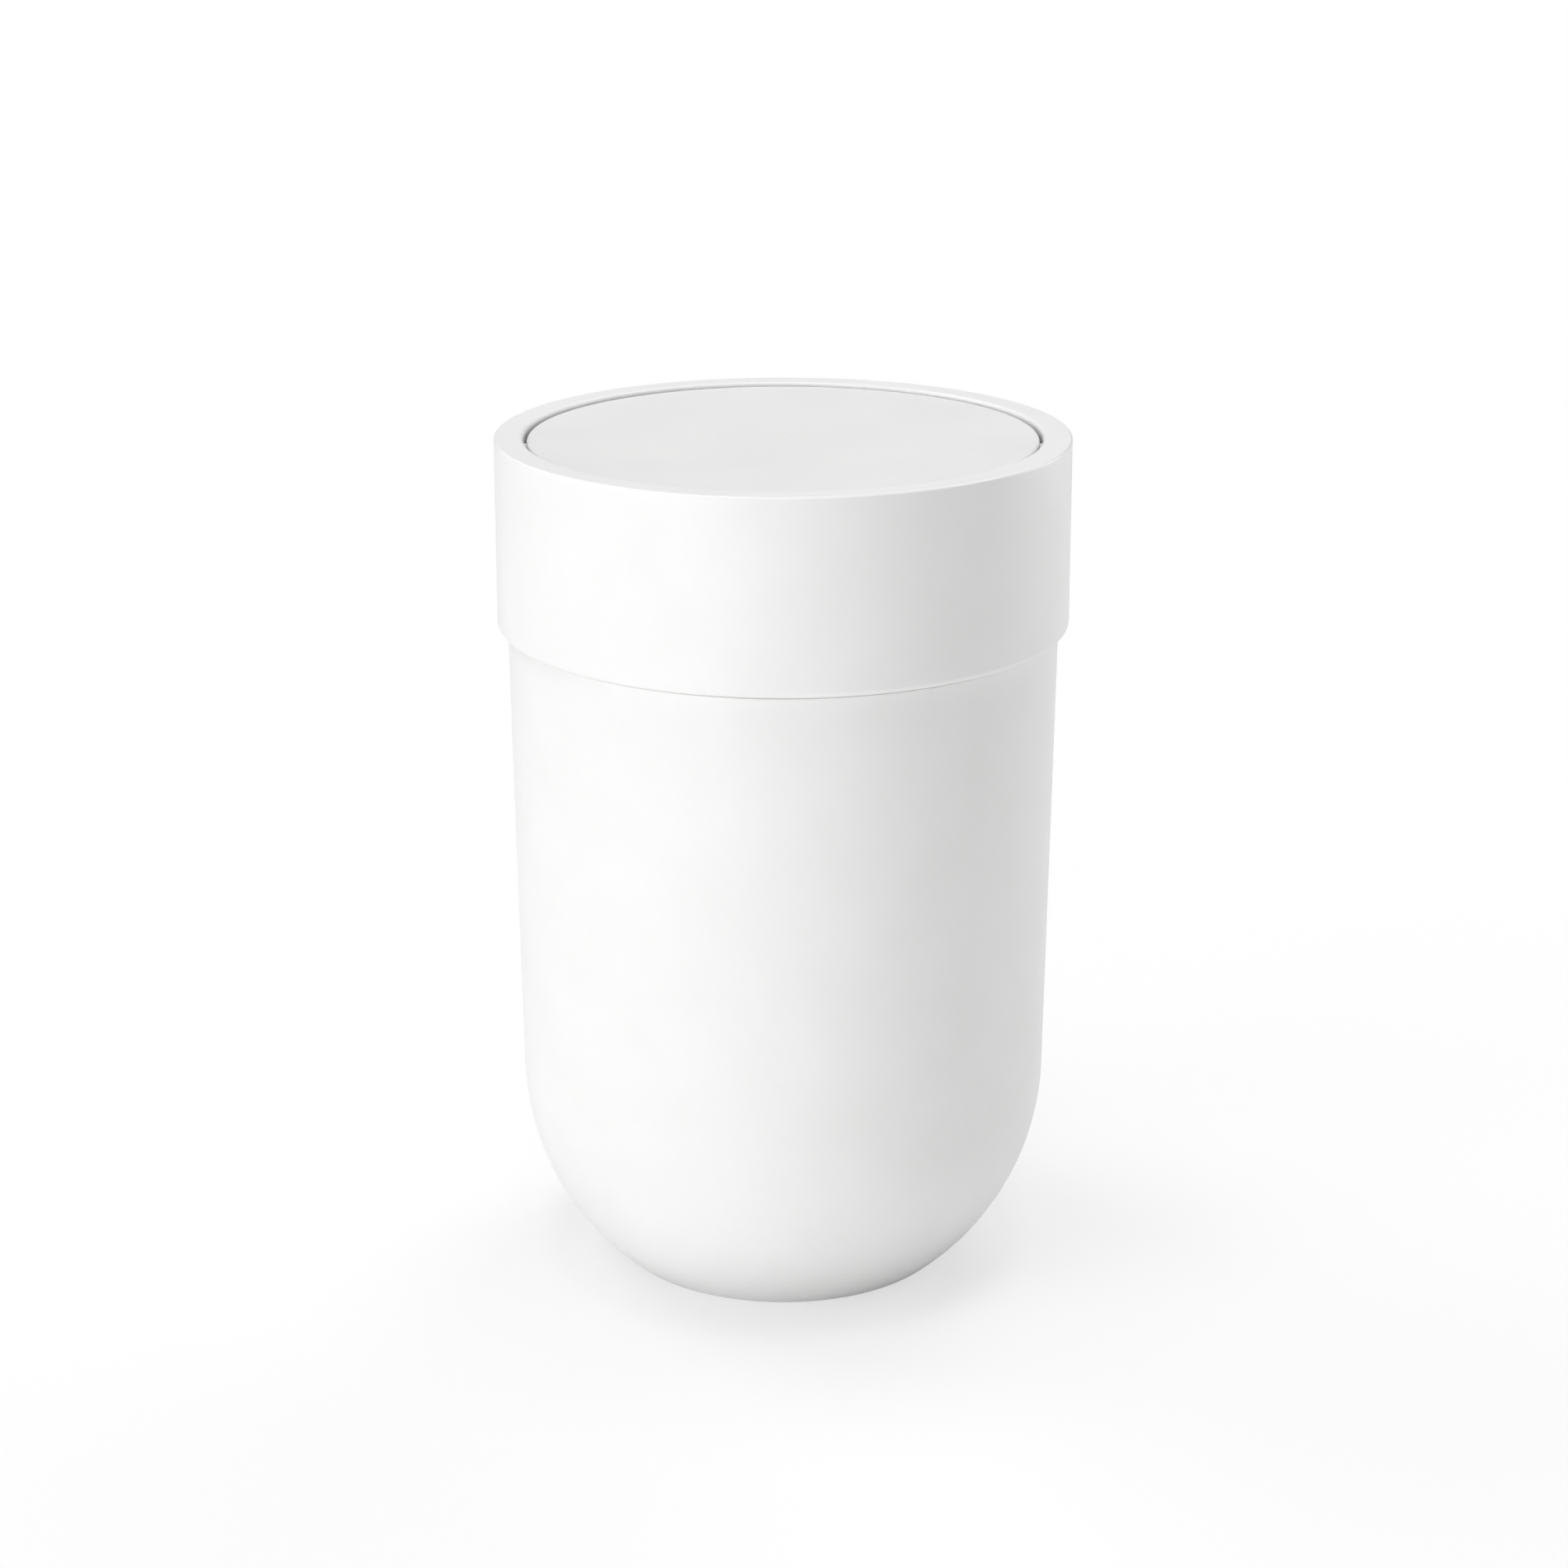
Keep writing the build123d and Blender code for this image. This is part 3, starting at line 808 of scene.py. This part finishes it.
studio = {
    "floorRadius": 9.0,
    "floorDepth": 0.02,
    "floorColour": (0.9, 0.9, 0.9, 1),
    "floorRoughness": 0.9,
    "whiteNear": 0.55,            # share of white seen over the floor's own shading near the bin
    "fadeFrom": 0.06,             # from the axis out to here,
    "fadeTo": 0.55,               # and from here outwards it is all white
    "surroundings": 0.1,          # strength of the white all round, as a light
    "lightDistance": 2.2,
    "lightWidth": 1.2,
    "discAim": 0.16,              # height that the discs face
    "stripAim": 0.13,             # strips stay below the collar, so that its inside is spared
    "stripDepth": 0.24,
    # azimuth from the front and elevation in degrees, and power in watts
    "discs": {
        "overhead": (0, 88, 21.2), "front": (0, 15, 10.6), "left": (-60, 15, 12.8),
        "frontHigh": (-45, 60, 5.4), "backRight": (120, 15, 10.1), "backLeft": (-120, 45, 12.8),
        "backHigh": (150, 45, 12.0),
    },
    "strips": {"lowLeft": (-30, 0, 9.0), "lowRight": (120, 0, 7.5)},
    "unmirrored": ("front",),     # its glare would whiten the whole top when seen from behind
}


def makeLight(name, azimuth, elevation, watts, aimHeight, shape):
    # A soft light at aim + distance * direction and facing the aim, where the direction is
    # (sin azimuth * cos elevation, -cos azimuth * cos elevation, sin elevation).
    lamp = bpy.data.lights.new(name, "AREA")
    lamp.shape, lamp.energy = shape, watts
    lamp.size, lamp.size_y = studio["lightWidth"], studio["stripDepth"]
    holder = bpy.data.objects.new(name, lamp)
    bpy.context.scene.collection.objects.link(holder)
    turn, lift = math.radians(azimuth), math.radians(elevation)
    direction = Vector((
        math.sin(turn) * math.cos(lift), -math.cos(turn) * math.cos(lift), math.sin(lift)))
    holder.location = Vector((0, 0, aimHeight)) + direction * studio["lightDistance"]
    holder.rotation_euler = direction.to_track_quat("Z", "Y").to_euler()
    holder.visible_camera = False
    holder.visible_glossy = name not in studio["unmirrored"]


def makeLights():
    # The discs, then the low strips.
    for name, place in studio["discs"].items():
        makeLight(name, *place, studio["discAim"], "DISK")
    for name, place in studio["strips"].items():
        makeLight(name, *place, studio["stripAim"], "RECTANGLE")


def makeFloor():
    # A wide pale disc. Seen directly, the share of white over its own shading grows with the
    # distance from the bin in a straight line; it lights the bin only by what falls on it.
    material, tree, shader, where = newMaterial("floorPaint")
    shader.inputs["Base Color"].default_value = studio["floorColour"]
    shader.inputs["Roughness"].default_value = studio["floorRoughness"]
    shader.inputs["Specular IOR Level"].default_value = 0
    distance = tree.nodes.new("ShaderNodeVectorMath")
    distance.operation = "LENGTH"
    tree.links.new(where, distance.inputs[0])
    far = spread(tree, distance.outputs["Value"], studio["fadeFrom"], studio["fadeTo"],
                 studio["whiteNear"], 1.0)
    seen = tree.nodes.new("ShaderNodeLightPath").outputs["Is Camera Ray"]
    glow = added(tree, "ShaderNodeEmission", Color=(1, 1, 1, 1))
    mix = tree.nodes.new("ShaderNodeMixShader")
    tree.links.new(maths(tree, "MULTIPLY", far, seen), mix.inputs[0])
    tree.links.new(shader.outputs[0], mix.inputs[1])
    tree.links.new(glow.outputs[0], mix.inputs[2])
    tree.links.new(mix.outputs[0], tree.nodes["Material Output"].inputs["Surface"])
    radius, low = studio["floorRadius"], -studio["floorDepth"]
    outline = evenRuns(np.array([[0, low], [radius, low], [radius, 0], [0, 0]]), longest=1.0)
    floor = solid("studioFloor", *turned(outline, segments=96))
    floor.data.materials.append(material)


def makeSurroundings():
    # White where the camera looks past the floor, and dim as a source of light.
    world = bpy.data.worlds.new("studioWorld")
    bpy.context.scene.world = world
    world.use_nodes = True
    tree = world.node_tree
    dim = tree.nodes["Background"]
    dim.inputs["Color"].default_value = (1, 1, 1, 1)
    dim.inputs["Strength"].default_value = studio["surroundings"]
    white = added(tree, "ShaderNodeBackground", Color=(1, 1, 1, 1), Strength=1.0)
    mix = tree.nodes.new("ShaderNodeMixShader")
    tree.links.new(tree.nodes.new("ShaderNodeLightPath").outputs["Is Camera Ray"], mix.inputs[0])
    tree.links.new(dim.outputs[0], mix.inputs[1])
    tree.links.new(white.outputs[0], mix.inputs[2])
    tree.links.new(mix.outputs[0], tree.nodes["World Output"].inputs["Surface"])


viewpoint = {
    "place": (0.00026, -1.0501, 0.49993),
    "lookDown": 17.898,           # degrees
    "lens": 76.9,                 # millimetres, as is the sensor
    "sensor": 36,
    "clips": (0.01, 50),
}


def makeCamera():
    # Level from side to side, turned down from the horizon by lookDown.
    camera = bpy.data.objects.new("camera", bpy.data.cameras.new("camera"))
    bpy.context.scene.collection.objects.link(camera)
    camera.location = viewpoint["place"]
    camera.rotation_euler = (math.radians(90 - viewpoint["lookDown"]), 0, 0)
    camera.data.lens, camera.data.sensor_width = viewpoint["lens"], viewpoint["sensor"]
    camera.data.clip_start, camera.data.clip_end = viewpoint["clips"]
    bpy.context.scene.camera = camera


makeLights()
makeFloor()
makeSurroundings()
makeCamera()
bpy.context.scene.view_settings.view_transform = "Standard"
print("studio made")
